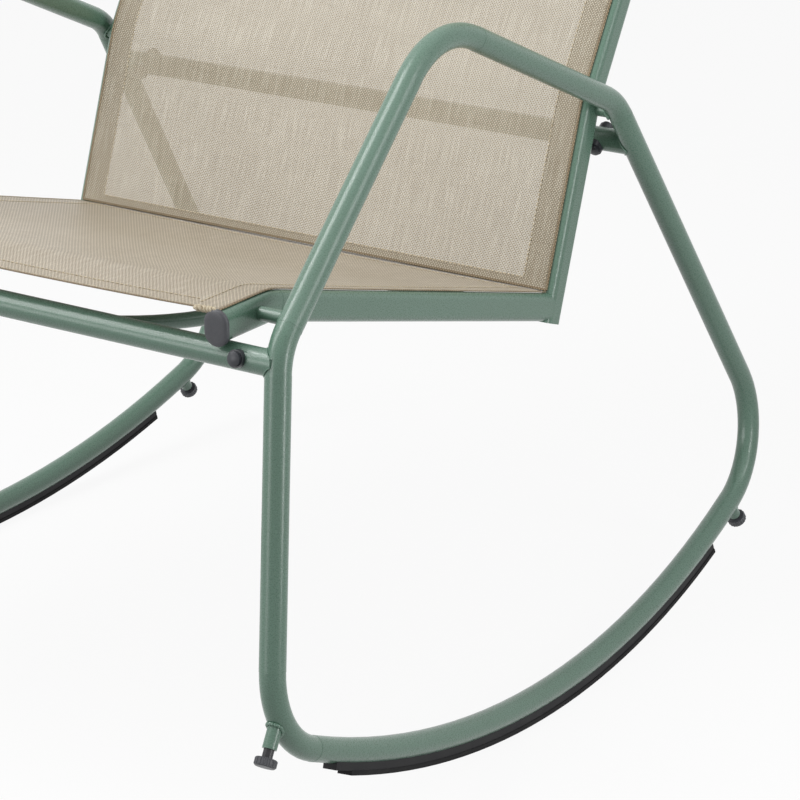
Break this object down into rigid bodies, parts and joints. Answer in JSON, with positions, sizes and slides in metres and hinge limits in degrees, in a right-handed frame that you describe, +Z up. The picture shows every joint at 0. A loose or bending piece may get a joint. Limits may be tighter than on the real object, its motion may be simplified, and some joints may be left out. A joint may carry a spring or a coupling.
{
  "type": "rocking armchair",
  "caption": "Rocking armchair with closed bent-tube side frames, a reclined mesh seat and back on flat-oval rails, rubber runners and screw-adjusted tip stops.",
  "frame": {"origin": "on the floor, midway between the points where the two runners touch it at rest", "axes": "+Z up, -Y the way the sitter faces, +X to the sitter's left"},
  "size_m": [0.6792, 0.8361, 0.8838],
  "materials": {
    "frame_paint": "fine-grained sage green powder coat",
    "mesh": "coated open-weave mesh, beige with paler slubs",
    "plastic": "moulded black, slight sheen",
    "rubber": "matt black",
    "black_steel": "blackened screw",
    "steel": "zinc plated"
  },
  "bodies": {
    "chair": {"side_frame_right": "frame_paint", "side_frame_left": "frame_paint", "front_stub_right": "frame_paint", "front_stub_left": "frame_paint", "rear_stub_right": "frame_paint", "rear_stub_left": "frame_paint", "front_crossbar": "frame_paint", "rear_crossbar": "frame_paint", "front_bolt_right": "steel", "front_bolt_left": "steel", "rear_bolt_right": "steel", "rear_bolt_left": "steel", "front_cap_right": "plastic", "front_cap_left": "plastic", "front_cap_back_right": "plastic", "front_cap_back_left": "plastic", "rear_cap_right": "plastic", "rear_cap_left": "plastic", "rear_cap_back_right": "plastic", "rear_cap_back_left": "plastic", "seat_rail_right": "frame_paint", "seat_rail_left": "frame_paint", "seat_plug_right": "plastic", "seat_plug_left": "plastic", "back_rail_right": "frame_paint", "back_rail_left": "frame_paint", "back_plug_right": "plastic", "back_plug_left": "plastic", "front_spreader": "frame_paint", "rear_spreader": "frame_paint", "top_tube": "frame_paint", "seat_sling": "mesh", "back_sling": "mesh", "front_bush_right": "frame_paint", "front_bush_left": "frame_paint", "rear_bush_right": "frame_paint", "rear_bush_left": "frame_paint", "front_bush_bolt_right": "steel", "front_bush_bolt_left": "steel", "rear_bush_bolt_right": "steel", "rear_bush_bolt_left": "steel", "carrier_right": "plastic", "carrier_left": "plastic", "tread_right": "rubber", "tread_left": "rubber", "front_sleeve_right": "frame_paint", "front_sleeve_left": "frame_paint", "rear_sleeve_right": "frame_paint", "rear_sleeve_left": "frame_paint"},
    "front_screw_right": {"front_stud_right": "black_steel"},
    "front_dial_right": {"front_knob_right": "plastic"},
    "front_screw_left": {"front_stud_left": "black_steel"},
    "front_dial_left": {"front_knob_left": "plastic"},
    "rear_screw_right": {"rear_stud_right": "black_steel"},
    "rear_dial_right": {"rear_knob_right": "plastic"},
    "rear_screw_left": {"rear_stud_left": "black_steel"},
    "rear_dial_left": {"rear_knob_left": "plastic"}
  },
  "joints": [
    {"name": "front_travel_right", "type": "slide", "parent": "chair", "child": "front_screw_right", "axis": [0.1023, -0.5995, -0.7938], "range_m": [-0.00625, 0.0075]},
    {"name": "front_turn_right", "type": "hinge", "parent": "front_screw_right", "child": "front_dial_right", "pos_m": [0.32689, -0.42527, 0.11663], "axis": [0.1023, -0.5995, -0.7938], "range_deg": [-1800, 2160]},
    {"name": "front_travel_left", "type": "slide", "parent": "chair", "child": "front_screw_left", "axis": [-0.1023, -0.5995, -0.7938], "range_m": [-0.00625, 0.0075]},
    {"name": "front_turn_left", "type": "hinge", "parent": "front_screw_left", "child": "front_dial_left", "pos_m": [-0.32689, -0.42527, 0.11663], "axis": [-0.1023, -0.5995, -0.7938], "range_deg": [-1800, 2160]},
    {"name": "rear_travel_right", "type": "slide", "parent": "chair", "child": "rear_screw_right", "axis": [0.0729, 0.6038, -0.7938], "range_m": [-0.0025, 0.00625]},
    {"name": "rear_turn_right", "type": "hinge", "parent": "rear_screw_right", "child": "rear_dial_right", "pos_m": [0.31576, 0.31144, 0.05442], "axis": [0.0729, 0.6038, -0.7938], "range_deg": [-720, 1800]},
    {"name": "rear_travel_left", "type": "slide", "parent": "chair", "child": "rear_screw_left", "axis": [-0.0729, 0.6038, -0.7938], "range_m": [-0.0025, 0.00625]},
    {"name": "rear_turn_left", "type": "hinge", "parent": "rear_screw_left", "child": "rear_dial_left", "pos_m": [-0.31576, 0.31144, 0.05442], "axis": [-0.0729, 0.6038, -0.7938], "range_deg": [-720, 1800]}
  ],
  "couplings": [
    {"joint": "front_turn_right", "follows": "front_travel_right", "rad_per_m": 5026.5},
    {"joint": "front_turn_left", "follows": "front_travel_left", "rad_per_m": 5026.5},
    {"joint": "rear_turn_right", "follows": "rear_travel_right", "rad_per_m": 5026.5},
    {"joint": "rear_turn_left", "follows": "rear_travel_left", "rad_per_m": 5026.5}
  ]
}
